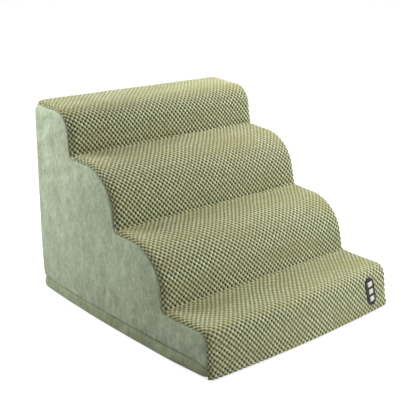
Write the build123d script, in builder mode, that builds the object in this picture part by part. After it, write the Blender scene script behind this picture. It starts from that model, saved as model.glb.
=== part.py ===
from build123d import *
import math
import os

os.makedirs("parts", exist_ok=True)

# Curved four-step foam pet stairs in a zip-off cloth cover, in millimetres.
# +X is right seen from the front, +Y runs from the front riser to the back, +Z is up.
# The origin is on the floor, under the middle of the stairs.

# Steps: goings run front to back, rises from crease to crease
tread_width = 480.0
first_going = 121.0
step_going = 141.0
top_going = 127.0
first_rise = 89.0
step_rise = 111.0
top_rise = 89.0
end_lean = 10.0
step_lean = 17.0
tread_fall = 7.0
first_nose_radius = 24.0
step_nose_radius = 90.0
top_nose_radius = 46.0
crease_radius = 5.0
back_hem = 1.2
corner_radius = 15.0

# Cloths
tread_cloth = 4.0
tread_edge_bevel = 5.4
tread_edge_blend = 2.2
seam_lip_depth = 9.0
wall_cloth = 1.6
base_cloth = 1.5

# Padded walls: crowned past the tread cover, and rounded down to their sewn margins
wall_crown = 4.0
crown_edge_bevel = 5.2
crown_edge_blend = 2.0
crown_corner_radius = 12.0
crown_foot_radius = 12.0
seam_groove = 2.0

# Clearance that curved layers keep from each other
slack = 0.3

# Seam line round the foot of the walls, with the rounded band below it
seam_height = 24.0
seam_dip = 11.0
seam_dip_run = 50.0
band_tuck = 6.0
foam_foot_radius = 7.0

# Anti-slip dots moulded onto the base cloth
dot_radius = 4.0
dot_height = 0.8
dot_pitch = 62.0
dot_margin = 20.0
dot_sides = 8

# Zip across the back, in a slot between the wall and the band
zip_slot_height = 10.4
zip_tape_width = 14.0
zip_tape_cloth = 0.6
chain_setback = 34.0
chain_width = 4.6
tooth_bead = 0.6
tooth_pitch = 3.0
tooth_width = 1.2
tooth_depth = 2.0
tooth_overlap = 0.8
stop_length = 2.4
stop_width = 2.0

# Zip slider: two plates on a wedge post, with a bridge that holds the pull
slider_length = 12.0
slider_mouth_height = 9.0
slider_plate = 1.0
slider_flange = 0.9
slider_clearance = 0.3
slider_corner_radius = 1.0
post_length = 3.6
post_width = 2.2
post_setback = 1.0
post_widest_share = 0.6
bridge_length = 8.0
bridge_width = 2.0
bridge_bar = 0.9
bridge_rise = 3.0
bridge_corner_radius = 0.8

# Zip pull: a tab with a window whose end bar turns under the bridge
pull_length = 23.0
pull_width = 7.0
pull_thickness = 1.2
pull_arm = 1.4
pull_window = 6.4
pull_lift = 0.4
pull_end_radius = 3.0
pull_hole_radius = 1.6
pull_hole_setback = 4.0

# Patch sewn on the front riser, left plain inside its raised rim
patch_length = 58.0
patch_width = 26.0
patch_thickness = 1.2
patch_rim = 2.2
patch_field_depth = 0.5
patch_side_gap = 51.0
patch_centre_height = 46.0
patch_tilt = 12.0

# How far cutters and trimmed blocks run past what they cut
overrun = 20.0

# Sizes and places worked out from the ones above
tread_depth = first_going + 2 * step_going + top_going
overall_height = first_rise + 2 * step_rise + top_rise
half_width = tread_width / 2
front_y = -(tread_depth + wall_crown) / 2
back_y = front_y + tread_depth
back_edge_radius = seam_lip_depth + slack
crease_y = [front_y + first_going + n * step_going for n in range(3)]
crease_z = [first_rise + n * step_rise for n in range(3)]
floor_gap = dot_height
wall_inset = tread_cloth + slack
wall_face_y = back_y - wall_inset
foam_inset = wall_inset + wall_cloth + slack
foam_bottom = dot_height + base_cloth + slack
corner_start_x = half_width - corner_radius
chain_half = chain_width / 2
zip_slot_top = seam_height + zip_slot_height
zip_z = seam_height + zip_slot_height / 2
tape_end = corner_start_x - slack
chain_end = corner_start_x - chain_setback
tape_face_y = wall_face_y - wall_cloth
tape_middle_y = tape_face_y - zip_tape_cloth / 2
channel_depth = tooth_depth + 2 * slider_clearance
slider_depth = channel_depth + 2 * slider_plate
slider_face_y = tape_middle_y + slider_depth / 2
slider_x = chain_end + slider_clearance + post_length + post_setback - slider_length / 2
slider_front_x = slider_x + slider_length / 2
slider_neck_height = chain_width + 2 * (slider_clearance + slider_flange)
pull_pivot_y = slider_face_y + pull_lift + pull_thickness / 2
zip_room = back_y - slider_face_y + slider_depth + slack


def riser_foot(z):
    """Place of the front riser at height z, on its leaning line."""
    share = (z - floor_gap) / (first_rise - floor_gap)
    return (front_y + end_lean * share, z)


def step_corners(start_z):
    """Corners of the step line, from the front riser at start_z to the hem at the back."""
    return [
        riser_foot(start_z),
        (front_y + end_lean, first_rise),
        (crease_y[0], crease_z[0]),
        (crease_y[0] + step_lean, crease_z[1] - tread_fall),
        (crease_y[1], crease_z[1]),
        (crease_y[1] + step_lean, crease_z[2] - tread_fall),
        (crease_y[2], crease_z[2]),
        (crease_y[2] + end_lean, overall_height - tread_fall),
        (back_y, overall_height),
        (back_y, overall_height - back_edge_radius - back_hem),
    ]


step_radii = [
    first_nose_radius,
    crease_radius,
    step_nose_radius,
    crease_radius,
    step_nose_radius,
    crease_radius,
    top_nose_radius,
]


def side_region(inset):
    """Side view of the stairs pulled in by inset, running on below the floor."""
    with BuildSketch(mode=Mode.PRIVATE) as region:
        with BuildLine():
            steps = FilletPolyline(*step_corners(-overrun), radius=step_radii + [back_edge_radius])
            Polyline(steps @ 1, (back_y, -overrun), steps @ 0)
        make_face()
        offset(amount=-inset, kind=Kind.INTERSECTION)
    return region.sketch


def crown_region():
    """Side view of what the walls' crown covers: inside the seam grooves, running on past the back."""
    crown_inset = seam_lip_depth + seam_groove
    with BuildSketch(mode=Mode.PRIVATE) as region:
        with BuildLine():
            top_slope = (overall_height - crease_z[2] - top_rise + tread_fall) / (top_going - end_lean)
            far_top = (back_y + overrun, overall_height + overrun * top_slope)
            steps = FilletPolyline(*step_corners(-overrun)[:-2], far_top, radius=step_radii)
            Polyline(steps @ 1, (back_y + overrun, -overrun), steps @ 0)
        make_face()
        offset(amount=-crown_inset, kind=Kind.INTERSECTION)
    return region.sketch


def plan_region(inset, back_inset, radius):
    """Plan of the stairs pulled in by inset, rounded at the back and running on past the front."""
    with BuildSketch(mode=Mode.PRIVATE) as region:
        with Locations((0, back_y - back_inset)):
            Rectangle(
                tread_width - 2 * inset,
                tread_depth + overrun - back_inset,
                align=(Align.CENTER, Align.MAX),
            )
        fillet(region.vertices().group_by(Axis.Y)[-1], radius=radius)
    return region.sketch


def below_seam(drop):
    """Side view of all that lies under the seam line lowered by drop."""
    low_z = seam_height - seam_dip - drop
    with BuildSketch(mode=Mode.PRIVATE) as region:
        with BuildLine():
            level = Line(
                (back_y + overrun, seam_height - drop),
                (front_y + seam_dip_run, seam_height - drop),
            )
            dip = TangentArc(level @ 1, (front_y, low_z), tangent=(-1, 0))
            Polyline(dip @ 1, (front_y - overrun, low_z), (front_y - overrun, -overrun),
                     (back_y + overrun, -overrun), level @ 0)
        make_face()
    return region.sketch


def zip_plane(y):
    """Upright plane at depth y on the zip's middle line; extruding it runs towards the front."""
    return Plane(origin=(0, y, zip_z), x_dir=(1, 0, 0), z_dir=(0, -1, 0))


# Foam core
with BuildPart() as foam_core:
    with BuildSketch(Plane.XY.offset(foam_bottom)):
        add(plan_region(foam_inset, zip_room, corner_radius - foam_inset))
    extrude(amount=overall_height)
    with BuildSketch(Plane.YZ):
        add(side_region(wall_inset))
    extrude(amount=half_width, both=True, mode=Mode.INTERSECT)
    foot_edges = foam_core.faces().sort_by(Axis.Z)[0].edges().sort_by(Axis.Y)[1:]
    fillet(foot_edges, radius=foam_foot_radius)
foam_core.part.label = "foam_core"
export_step(foam_core.part, "parts/foam_core.step")

# Tread cover: one run of quilted cloth along all the steps, with a lip down each side.
# Its soft edges are three narrow bevels, which keeps the faces few.
with BuildPart() as tread_cover:
    with BuildLine(Plane.YZ) as step_line:
        FilletPolyline(*step_corners(floor_gap), radius=step_radii + [back_edge_radius])
    step_start = Plane(step_line.line @ 0, x_dir=(1, 0, 0), z_dir=step_line.line % 0)
    with BuildSketch(step_start) as tread_section:
        Rectangle(tread_width, seam_lip_depth, align=(Align.CENTER, Align.MIN))
        chamfer(tread_section.vertices().group_by(Axis.Y)[0], length=tread_edge_bevel)
        bevel_ends = tread_section.vertices().group_by(Axis.Y)[:2]
        chamfer(bevel_ends[0] + bevel_ends[1], length=tread_edge_blend)
        with Locations((0, tread_cloth)):
            Rectangle(
                tread_width - 2 * tread_cloth,
                seam_lip_depth,
                align=(Align.CENTER, Align.MIN),
                mode=Mode.SUBTRACT,
            )
    sweep(path=step_line.line)
tread_cover.part.label = "tread_cover"
export_step(tread_cover.part, "parts/tread_cover.step")


def below_zip(drop):
    """Side view of all that lies under the zip slot's top edge lowered by drop."""
    with BuildSketch(mode=Mode.PRIVATE) as region:
        with Locations((back_y + overrun, zip_slot_top - drop)):
            Rectangle(tread_depth + 2 * overrun, zip_slot_top + overrun, align=(Align.MAX, Align.MAX))
    return region.sketch


def crown_rim(walls):
    """Edges round the outer side, back and corner faces, all but the upright ones."""
    faces = walls.faces()
    corners = faces.filter_by(GeomType.CYLINDER).sort_by(Axis.Y)[-2:]
    flats = faces.sort_by(Axis.X)[:1] + faces.sort_by(Axis.X)[-1:] + faces.sort_by(Axis.Y)[-1:]
    return (corners + flats).edges().filter_by(Axis.Z, reverse=True)


def padded_walls(margin_foot, crown_foot):
    """Side and back walls in one, above the two foot regions of the side view."""
    wall_back = wall_inset + wall_cloth
    with BuildPart(mode=Mode.PRIVATE) as margin:
        with BuildSketch():
            add(plan_region(wall_inset, wall_inset, corner_radius - wall_inset))
        extrude(amount=overall_height)
        with BuildSketch(Plane.YZ):
            add(side_region(wall_inset))
            add(margin_foot, mode=Mode.SUBTRACT)
        extrude(amount=half_width, both=True, mode=Mode.INTERSECT)
    with BuildPart(mode=Mode.PRIVATE) as walls:
        with BuildSketch():
            add(plan_region(-wall_crown, -wall_crown, crown_corner_radius))
        extrude(amount=overall_height)
        with BuildSketch(Plane.YZ) as crown_side:
            add(crown_region())
            add(crown_foot, mode=Mode.SUBTRACT)
            fillet(crown_side.vertices().group_by(Axis.X)[0], radius=crown_foot_radius)
        extrude(amount=tread_width, both=True, mode=Mode.INTERSECT)
        chamfer(crown_rim(walls), length=crown_edge_bevel)
        chamfer(crown_rim(walls), length=crown_edge_blend)
        add(margin.part)
        with BuildSketch():
            add(plan_region(wall_back, wall_back, corner_radius - wall_back))
        extrude(amount=overall_height, mode=Mode.SUBTRACT)
    return walls.part


# Side walls, each turning the rounded back corner
with BuildPart() as left_wall:
    add(padded_walls(below_seam(0), below_seam(-seam_groove)))
    split(bisect_by=Plane.YZ.offset(-corner_start_x), keep=Keep.BOTTOM)
left_wall.part.label = "left_wall"
export_step(left_wall.part, "parts/left_wall.step")

with BuildPart() as right_wall:
    mirror(left_wall.part, about=Plane.YZ)
right_wall.part.label = "right_wall"
export_step(right_wall.part, "parts/right_wall.step")

# Back wall between the corners, above the zip
with BuildPart() as back_wall:
    add(padded_walls(below_zip(0), below_zip(-seam_groove)))
    split(bisect_by=Plane.YZ.offset(-corner_start_x), keep=Keep.TOP)
    split(bisect_by=Plane.YZ.offset(corner_start_x), keep=Keep.BOTTOM)
back_wall.part.label = "back_wall"
export_step(back_wall.part, "parts/back_wall.step")

# Base band: a bulging strip round the foot, from front corner to front corner
with BuildPart() as base_band:
    with BuildLine() as band_line:
        FilletPolyline(
            (wall_inset - half_width, front_y),
            (wall_inset - half_width, wall_face_y),
            (half_width - wall_inset, wall_face_y),
            (half_width - wall_inset, front_y),
            radius=corner_radius - wall_inset,
        )
    with BuildSketch(Plane(band_line.line @ 0, x_dir=(-1, 0, 0), z_dir=band_line.line % 0)):
        with BuildLine():
            outer_belly = (wall_inset, seam_height / 2)
            inner_belly = (wall_inset - wall_cloth, seam_height / 2)
            outer_top = TangentArc(outer_belly, (0, seam_height - slack), tangent=(0, 1))
            outer_foot = TangentArc(outer_belly, (-band_tuck, floor_gap), tangent=(0, -1))
            inner_top = TangentArc(inner_belly, (-wall_cloth, seam_height - slack), tangent=(0, 1))
            inner_foot = TangentArc(
                inner_belly, (-band_tuck, floor_gap + wall_cloth), tangent=(0, -1)
            )
            Line(outer_top @ 1, inner_top @ 1)
            Line(outer_foot @ 1, inner_foot @ 1)
        make_face()
    sweep(path=band_line.line)
    with BuildSketch(Plane.YZ):
        add(below_seam(slack))
        with BuildLine():
            lip_edge = Line(
                Vector(riser_foot(-overrun)) + Vector(seam_lip_depth + slack, 0),
                Vector(riser_foot(first_rise)) + Vector(seam_lip_depth + slack, 0),
            )
            Polyline(
                lip_edge @ 1,
                (front_y - overrun, first_rise),
                (front_y - overrun, -overrun),
                lip_edge @ 0,
            )
        make_face(mode=Mode.SUBTRACT)
    extrude(amount=tread_width, both=True, mode=Mode.INTERSECT)
base_band.part.label = "base_band"
export_step(base_band.part, "parts/base_band.step")

# Base cloth with its pattern of anti-slip dots
dots_across = 2 * math.floor((half_width - dot_margin) / dot_pitch) + 1
dots_along = 2 * math.floor((back_y - dot_margin) / dot_pitch) + 1
base_inset = wall_inset + band_tuck + slack
with BuildPart() as base_panel:
    with BuildSketch(Plane.XY.offset(dot_height)):
        add(plan_region(base_inset, base_inset, corner_radius - base_inset))
        with Locations((0, front_y + wall_inset)):
            Rectangle(tread_width, 2 * overrun, align=(Align.CENTER, Align.MAX), mode=Mode.SUBTRACT)
    extrude(amount=base_cloth)
    with BuildSketch():
        with GridLocations(dot_pitch, dot_pitch, dots_across, dots_along):
            RegularPolygon(radius=dot_radius, side_count=dot_sides)
    extrude(amount=dot_height)
base_panel.part.label = "base_panel"
export_step(base_panel.part, "parts/base_panel.step")

# Zip tapes, one behind the back wall and one behind the band
with BuildPart() as zip_tape_upper:
    with BuildSketch(zip_plane(tape_face_y)):
        with Locations((0, chain_half)):
            Rectangle(2 * tape_end, zip_tape_width, align=(Align.CENTER, Align.MIN))
    extrude(amount=zip_tape_cloth)
zip_tape_upper.part.label = "zip_tape_upper"
export_step(zip_tape_upper.part, "parts/zip_tape_upper.step")

with BuildPart() as zip_tape_lower:
    mirror(zip_tape_upper.part, about=Plane.XY.offset(zip_z))
zip_tape_lower.part.label = "zip_tape_lower"
export_step(zip_tape_lower.part, "parts/zip_tape_lower.step")

# Zip teeth: two combs along the tapes' edges that mesh with each other
tooth_count = math.floor(2 * chain_end / tooth_pitch)
first_tooth_x = -(tooth_count - 1) * tooth_pitch / 2


def zip_comb(shift):
    """Comb that hangs from the upper tape, its teeth moved along by shift."""
    root_z = chain_half - tooth_bead
    tip_z = -tooth_overlap / 2
    corners = [(chain_end, root_z), (chain_end, chain_half), (-chain_end, chain_half), (-chain_end, root_z)]
    for n in range(tooth_count):
        x = first_tooth_x + n * tooth_pitch + shift
        left_x = x - tooth_width / 2
        right_x = x + tooth_width / 2
        corners += [(left_x, root_z), (left_x, tip_z), (right_x, tip_z), (right_x, root_z)]
    with BuildPart(mode=Mode.PRIVATE) as comb:
        with BuildSketch(zip_plane(tape_middle_y + tooth_depth / 2)):
            with BuildLine():
                Polyline(*corners, close=True)
            make_face()
        extrude(amount=tooth_depth)
    return comb.part


with BuildPart() as zip_teeth_upper:
    add(zip_comb(-tooth_pitch / 4))
zip_teeth_upper.part.label = "zip_teeth_upper"
export_step(zip_teeth_upper.part, "parts/zip_teeth_upper.step")

with BuildPart() as zip_teeth_lower:
    mirror(zip_comb(tooth_pitch / 4), about=Plane.XY.offset(zip_z))
zip_teeth_lower.part.label = "zip_teeth_lower"
export_step(zip_teeth_lower.part, "parts/zip_teeth_lower.step")

# Zip stops: two that end the tapes beyond the slider, and one that joins them at the far end
with BuildPart() as zip_top_stops:
    with BuildSketch(zip_plane(tape_middle_y + tooth_depth / 2)):
        with Locations((slider_front_x + slack, chain_half)):
            Rectangle(stop_length, stop_width, align=(Align.MIN, Align.MAX))
        with Locations((slider_front_x + slack, -chain_half)):
            Rectangle(stop_length, stop_width, align=(Align.MIN, Align.MIN))
    extrude(amount=tooth_depth)
zip_top_stops.part.label = "zip_top_stops"
export_step(zip_top_stops.part, "parts/zip_top_stops.step")

with BuildPart() as zip_bottom_stop:
    with BuildSketch(zip_plane(tape_middle_y + tooth_depth / 2)):
        with Locations((-chain_end, 0)):
            Rectangle(stop_length, chain_width, align=(Align.MAX, Align.CENTER))
    extrude(amount=tooth_depth)
zip_bottom_stop.part.label = "zip_bottom_stop"
export_step(zip_bottom_stop.part, "parts/zip_bottom_stop.step")


def slider_outline(inset):
    """Slider seen from behind, wide at the mouth, with its long sides pulled in by inset."""
    mouth_z = slider_mouth_height / 2 - inset
    neck_z = slider_neck_height / 2 - inset
    rear_x = slider_x - slider_length / 2
    return [(rear_x, neck_z), (slider_front_x, mouth_z), (slider_front_x, -mouth_z), (rear_x, -neck_z)]


# Zip slider
with BuildPart() as zip_slider:
    with BuildSketch(zip_plane(slider_face_y)) as slider_face:
        Polygon(*slider_outline(0), align=None)
        fillet(slider_face.vertices(), radius=slider_corner_radius)
    extrude(amount=slider_depth)
    with BuildSketch(zip_plane(slider_face_y - slider_plate)):
        Polygon(*slider_outline(slider_flange), align=None)
    extrude(amount=channel_depth, mode=Mode.SUBTRACT)
    with BuildSketch(zip_plane(tape_middle_y + zip_tape_cloth / 2 + slider_clearance)):
        with Locations((slider_x, 0)):
            Rectangle(slider_length, slider_mouth_height)
    extrude(amount=zip_tape_cloth + 2 * slider_clearance, mode=Mode.SUBTRACT)
    with BuildSketch(zip_plane(slider_face_y - slider_plate)):
        post_front_x = slider_front_x - post_setback
        post_widest_x = post_front_x - post_length * (1 - post_widest_share)
        Polygon(
            (post_front_x - post_length, 0),
            (post_widest_x, post_width / 2),
            (post_front_x, 0),
            (post_widest_x, -post_width / 2),
            align=None,
        )
    extrude(amount=channel_depth)
    with BuildSketch(Plane.XY.offset(zip_z - bridge_width / 2)) as bridge_side:
        with Locations((slider_x, slider_face_y)):
            Rectangle(bridge_length, bridge_rise, align=(Align.CENTER, Align.MIN))
            fillet(bridge_side.vertices().group_by(Axis.Y)[-1], radius=bridge_corner_radius)
            Rectangle(
                bridge_length - 2 * bridge_bar,
                bridge_rise - bridge_bar,
                align=(Align.CENTER, Align.MIN),
                mode=Mode.SUBTRACT,
            )
    extrude(amount=bridge_width)
zip_slider.part.label = "zip_slider"
export_step(zip_slider.part, "parts/zip_slider.step")

# Zip pull, lying flat and pointing along the closed teeth
with BuildPart() as zip_pull:
    with BuildSketch(zip_plane(pull_pivot_y + pull_thickness / 2)) as pull_face:
        with Locations((slider_x, 0)):
            Rectangle(pull_length, pull_width, align=(Align.MAX, Align.CENTER))
            fillet(pull_face.vertices().group_by(Axis.X)[0], radius=pull_end_radius)
            Rectangle(
                pull_window,
                pull_width - 2 * pull_arm,
                align=(Align.MAX, Align.CENTER),
                mode=Mode.SUBTRACT,
            )
        with Locations((slider_x - pull_length + pull_hole_setback, 0)):
            Circle(pull_hole_radius, mode=Mode.SUBTRACT)
    extrude(amount=pull_thickness)
    with BuildSketch(Plane.XY.offset(zip_z - pull_width / 2)):
        with Locations((slider_x, pull_pivot_y)):
            Circle(pull_thickness / 2)
    extrude(amount=pull_width)
zip_pull.part.label = "zip_pull"
export_step(zip_pull.part, "parts/zip_pull.step")


def riser_layer(inner, outer, patch_inset):
    """Skin between two distances off the steps, trimmed to the patch's outline less an inset."""
    with BuildPart(mode=Mode.PRIVATE) as layer:
        with BuildSketch(Plane.YZ):
            add(side_region(-outer))
            add(side_region(-inner), mode=Mode.SUBTRACT)
        extrude(amount=half_width, both=True)
        patch_centre = (half_width - patch_side_gap, front_y, patch_centre_height)
        with BuildSketch(Plane(origin=patch_centre, x_dir=(1, 0, 0), z_dir=(0, -1, 0))):
            SlotOverall(
                patch_length - 2 * patch_inset,
                patch_width - 2 * patch_inset,
                rotation=90 + patch_tilt,
            )
        extrude(amount=overrun, both=True, mode=Mode.INTERSECT)
    return layer.part


# Patch on the front riser, its plain field sunk inside a rim
with BuildPart() as riser_patch:
    add(riser_layer(slack, slack + patch_thickness, 0))
    add(
        riser_layer(slack + patch_thickness - patch_field_depth, slack + overrun, patch_rim),
        mode=Mode.SUBTRACT,
    )
riser_patch.part.label = "riser_patch"
export_step(riser_patch.part, "parts/riser_patch.step")
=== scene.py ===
import bpy, math
import numpy as np
from mathutils import Matrix, Vector, noise
from mathutils.geometry import delaunay_2d_cdt


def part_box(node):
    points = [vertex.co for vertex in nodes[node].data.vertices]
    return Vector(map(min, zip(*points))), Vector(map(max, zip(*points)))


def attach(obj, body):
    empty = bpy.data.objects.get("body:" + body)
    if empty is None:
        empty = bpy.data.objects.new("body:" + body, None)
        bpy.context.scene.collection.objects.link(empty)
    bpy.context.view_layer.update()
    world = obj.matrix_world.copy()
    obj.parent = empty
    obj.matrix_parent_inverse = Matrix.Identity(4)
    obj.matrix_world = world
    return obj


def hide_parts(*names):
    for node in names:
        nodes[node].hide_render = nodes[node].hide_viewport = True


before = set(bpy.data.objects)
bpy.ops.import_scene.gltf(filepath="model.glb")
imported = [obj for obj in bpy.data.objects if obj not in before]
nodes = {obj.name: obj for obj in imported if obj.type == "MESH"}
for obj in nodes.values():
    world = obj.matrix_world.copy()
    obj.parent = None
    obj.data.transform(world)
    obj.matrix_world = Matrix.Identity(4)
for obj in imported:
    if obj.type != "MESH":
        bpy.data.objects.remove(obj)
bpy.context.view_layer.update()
bpy.ops.object.select_all(action="DESELECT")
print("frame loaded:", len(nodes), "nodes")

mm = 0.001
stairsLow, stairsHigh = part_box("tread_cover")
halfWidth = stairsHigh.x
frontY, backY = stairsLow.y, stairsHigh.y

# the step line seen from the side: (y, z) corners and their radii
steps = dict(
    topZ=400 * mm, firstGoing=121 * mm, going=141 * mm, firstRise=89 * mm, rise=111 * mm,
    endLean=10 * mm, lean=17 * mm, fall=7 * mm, hem=10.5 * mm,
    noseRadii=(24 * mm, 90 * mm, 90 * mm, 46 * mm), creaseRadius=5 * mm, backRadius=9.3 * mm,
)


def stepCorners(startZ):
    y0, z0 = frontY + steps["firstGoing"], steps["firstRise"]
    y1, z1 = y0 + steps["going"], z0 + steps["rise"]
    y2, z2 = y1 + steps["going"], z1 + steps["rise"]
    topZ = steps["topZ"]
    return [
        (frontY, startZ), (frontY + steps["endLean"], z0), (y0, z0),
        (y0 + steps["lean"], z1 - steps["fall"]), (y1, z1),
        (y1 + steps["lean"], z2 - steps["fall"]), (y2, z2),
        (y2 + steps["endLean"], topZ - steps["fall"]), (backY, topZ), (backY, topZ - steps["hem"]),
    ]


def stepRadii():
    n1, n2, n3, n4 = steps["noseRadii"]
    c = steps["creaseRadius"]
    return [n1, c, n2, c, n3, c, n4, steps["backRadius"]]


def wayAlong(line):
    # the way covered at each point of a line
    return np.concatenate(([0], np.cumsum(np.linalg.norm(np.diff(line, axis=0), axis=1))))


def closedLine(outline):
    return np.concatenate((outline, outline[:1]))


def roundedLine(corners, radii, spacing, ends=()):
    # points along straight runs joined by arcs, with the direction of travel and the way covered at
    # each; ends are further places near both ends, as distances from them
    arcPoints = 60
    corners = [np.array(c, float) for c in corners]
    places, headings = [corners[0]], [math.atan2(*(corners[1] - corners[0])[::-1])]
    for before, corner, after, radius in zip(corners, corners[1:], corners[2:], radii):
        inward, outward = corner - before, after - corner
        a, b = math.atan2(inward[1], inward[0]), math.atan2(outward[1], outward[0])
        turn = (b - a + math.pi) % (2 * math.pi) - math.pi
        start = corner - inward / np.linalg.norm(inward) * radius * math.tan(abs(turn) / 2)
        side = math.copysign(1, turn)
        centre = start + side * radius * np.array((-math.sin(a), math.cos(a)))
        for share in np.linspace(0, 1, arcPoints):
            heading = a + turn * share
            places.append(centre - side * radius * np.array((-math.sin(heading), math.cos(heading))))
            headings.append(heading)
    places.append(corners[-1])
    headings.append(headings[-1])
    places, headings = np.array(places), np.unwrap(headings)
    along = wayAlong(places)
    count = max(2, round(along[-1] / spacing))
    wanted = np.linspace(0, along[-1], count + 1)
    wanted = np.unique(np.concatenate((wanted, ends, along[-1] - np.array(ends))))
    points = np.stack([np.interp(wanted, along, places[:, i]) for i in (0, 1)], 1)
    return points, np.interp(wanted, along, headings), wanted


def divided(corners, spacing):
    # a run of straight lines with points every so often
    corners = np.array(corners, float)
    parts = []
    for a, b in zip(corners, corners[1:]):
        count = max(1, round(np.linalg.norm(b - a) / spacing))
        parts.append(a + (b - a) * np.linspace(0, 1, count, endpoint=False)[:, None])
    return np.concatenate(parts + [corners[-1:]])


def distanceTo(points, line):
    # how far each point is from a line of points, and how far along the line that is
    step = np.diff(line, axis=0)
    best, along = np.full(len(points), np.inf), np.zeros(len(points))
    for start, way, size, before in zip(line, step, np.linalg.norm(step, axis=1), wayAlong(line)):
        t = np.clip((points - start) @ way / size ** 2, 0, 1)
        gap = np.linalg.norm(points - start - t[:, None] * way, axis=1)
        nearer = gap < best
        best[nearer], along[nearer] = gap[nearer], before + t[nearer] * size
    return best, along


def rollDown(gap, depth, width):
    # drop of a rounded edge: the whole depth at the edge itself, none from width inwards
    t = np.clip(gap / width, 0, 1)
    return depth * (1 - np.sqrt(1 - (1 - t) ** 2))


def ripple(*places, scale, seed=0.0):
    # smooth noise between about -1 and 1 for each place
    places = np.broadcast_arrays(*places)
    columns = [p.ravel() / scale for p in places]
    columns += [np.full(places[0].size, seed)] * (3 - len(places))
    values = [noise.noise(Vector(p)) for p in np.stack(columns, 1)]
    return np.array(values).reshape(places[0].shape)


# the foam has settled under its own weight: the foot spreads, most in the middle of each side, and
# a little more at the front right corner
settled = dict(side=10.5 * mm, front=9.5 * mm, corner=5.5 * mm, cornerFrom=0.4, height=100 * mm)


def settle(points):
    across, forward = points[..., 0] / halfWidth, -points[..., 1] / backY
    share = np.exp(-np.clip(points[..., 2], 0, None) / settled["height"])
    nearCorner = np.clip((forward - settled["cornerFrom"]) / (1 - settled["cornerFrom"]), 0, 1)
    moved = np.array(points, float)
    moved[..., 0] += settled["side"] * share * np.clip(1 - forward ** 2, 0, 1) * across
    moved[..., 0] += settled["corner"] * share * np.clip(across, 0, 1) * nearCorner
    moved[..., 1] -= settled["front"] * share * np.clip(1 - across ** 2, 0, 1) * np.clip(forward, 0, 1)
    return moved


def newPiece(name, points, faces, material=None):
    mesh = bpy.data.meshes.new(name)
    mesh.from_pydata([tuple(p) for p in points], [], faces)
    mesh.update()
    mesh.shade_smooth()
    piece = bpy.data.objects.new(name, mesh)
    bpy.context.scene.collection.objects.link(piece)
    if material:
        mesh.materials.append(material)
        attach(piece, "stairs")
    return piece


def tubePiece(name, rings, material):
    # closed rings of points joined in a row, with a flat face over each end
    rows, columns = rings.shape[:2]
    r, c = np.meshgrid(np.arange(rows - 1), np.arange(columns), indexing="ij")
    after = (c + 1) % columns
    corners = (r * columns + c, r * columns + after, (r + 1) * columns + after, (r + 1) * columns + c)
    quads = np.stack(corners, -1).reshape(-1, 4)
    first = np.arange(columns)
    faces = quads.tolist() + [first[::-1].tolist(), (first + (rows - 1) * columns).tolist()]
    points = rings.reshape(-1, 3)
    p, q, s, t = (points - points.mean(0))[quads.T]
    # a volume that comes out negative says that the faces are inside out
    if np.sum(p * np.cross(q, s)) + np.sum(p * np.cross(s, t)) <= 0:
        faces = [face[::-1] for face in faces]
    return newPiece(name, points, faces, material)


def giveUv(piece, uv):
    # one uv for each point, in the same order as the points
    layer = piece.data.uv_layers.new(name="lay")
    corner = np.empty(len(piece.data.loops), np.int32)
    piece.data.loops.foreach_get("vertex_index", corner)
    layer.data.foreach_set("uv", np.asarray(uv, np.float32)[corner].ravel())


def sharpEnds(piece, columns, rows):
    # the rims of a tube's two end faces shade sharply, so that lengths can meet without a shadow line
    edges = np.empty(2 * len(piece.data.edges), np.int32)
    piece.data.edges.foreach_get("vertices", edges)
    edges = edges.reshape(-1, 2)
    rim = (edges < columns).all(1) | (edges >= (rows - 1) * columns).all(1)
    piece.data.attributes.new("sharp_edge", "BOOLEAN", "EDGE").data.foreach_set("value", rim)


def readPoints(piece):
    flat = np.empty(3 * len(piece.data.vertices), np.float32)
    piece.data.vertices.foreach_get("co", flat)
    return flat.reshape(-1, 3).astype(float)


def applyModifier(piece, name, kind, **settings):
    modifier = piece.modifiers.new(name, kind)
    for key, value in settings.items():
        setattr(modifier, key, value)
    bpy.context.view_layer.objects.active = piece
    bpy.ops.object.modifier_apply(modifier=modifier.name)


# the filling of a padded piece
puff = dict(frames=20, quality=6, mass=0.25, stretch=20, shear=8, bending=3.0, pin=3)


def puffUp(piece, held, pressure, growth, cap):
    # cloth simulation that fills a padded piece: points with a held share of 1 stay where they are
    start = readPoints(piece)
    group = piece.vertex_groups.new(name="held")
    for i, share in enumerate(held):
        group.add([i], float(share), "REPLACE")
    cloth = piece.modifiers.new("cloth", "CLOTH")
    settings = cloth.settings
    settings.quality, settings.mass = puff["quality"], puff["mass"]
    settings.tension_stiffness = settings.compression_stiffness = puff["stretch"]
    settings.shear_stiffness, settings.bending_stiffness = puff["shear"], puff["bending"]
    settings.vertex_group_mass, settings.pin_stiffness = "held", puff["pin"]
    settings.use_pressure, settings.uniform_pressure_force = True, pressure
    settings.shrink_min = -growth
    settings.effector_weights.gravity = 0
    cloth.collision_settings.use_collision = False
    for frameNumber in range(1, puff["frames"] + 1):
        bpy.context.scene.frame_set(frameNumber)
    bpy.context.view_layer.objects.active = piece
    bpy.ops.object.modifier_apply(modifier="cloth")
    bpy.context.scene.frame_set(1)
    move = readPoints(piece) - start
    size = np.linalg.norm(move, axis=1, keepdims=True)
    move *= cap * np.tanh(size / cap) / np.maximum(size, 1e-9)  # no point moves further than the cap
    piece.data.vertices.foreach_set("co", (start + move).astype(np.float32).ravel())
    piece.vertex_groups.clear()
    print(piece.name, "simulated, largest move", round(1000 * float(np.abs(move).max()), 2), "mm")


# materials
def newMaterial(name):
    # a material, its nodes, its shader, and the place on the object that its patterns read
    material = bpy.data.materials.new(name)
    material.use_nodes = True
    tree = material.node_tree
    spot = addNode(tree, "ShaderNodeTexCoord").outputs["Object"]
    return material, tree, tree.nodes["Principled BSDF"], spot


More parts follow.
